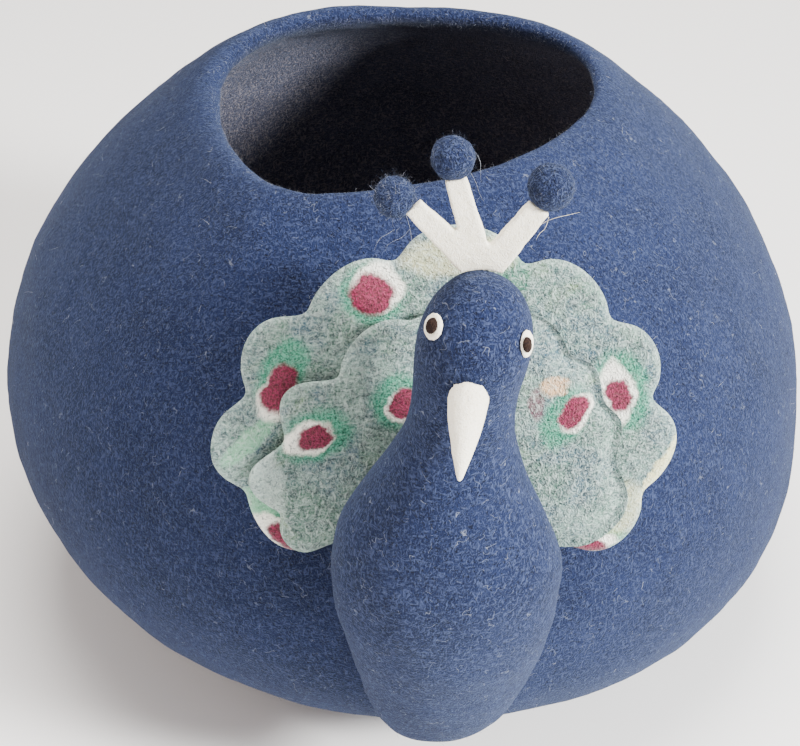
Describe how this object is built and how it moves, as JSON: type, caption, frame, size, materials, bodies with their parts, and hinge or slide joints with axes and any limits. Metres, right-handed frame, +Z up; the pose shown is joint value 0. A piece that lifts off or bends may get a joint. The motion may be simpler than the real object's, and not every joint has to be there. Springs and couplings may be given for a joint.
{
  "type": "felt cat cave",
  "caption": "Round thick-felt cat cave with a wide top opening and a stuffed peacock with an upright scalloped tail on its front wall.",
  "frame": {"origin": "on the flat base that stands on the floor, under the middle of the pot", "axes": "+Z up out of the mouth, -Y towards the front where the peacock is, +X to the right seen from the front"},
  "size_m": [0.4572, 0.5507, 0.4283],
  "materials": {
    "navy_felt": "heathered navy wool felt with pale stray fibres",
    "marbled_felt": "marbled grey-green wool felt with crimson spots",
    "cream_felt": "cream wool felt",
    "dark_felt": "dark brown felt"
  },
  "bodies": {
    "root": {"cave_shell": "navy_felt", "tail_back": "marbled_felt", "tail_front": "marbled_felt", "bird_body": "navy_felt", "beak": "cream_felt", "eye_white_left": "cream_felt", "eye_white_right": "cream_felt", "eye_pupil_left": "dark_felt", "eye_pupil_right": "dark_felt", "crest_prongs": "cream_felt", "crest_ball_left": "navy_felt", "crest_ball_middle": "navy_felt", "crest_ball_right": "navy_felt"}
  },
  "joints": []
}
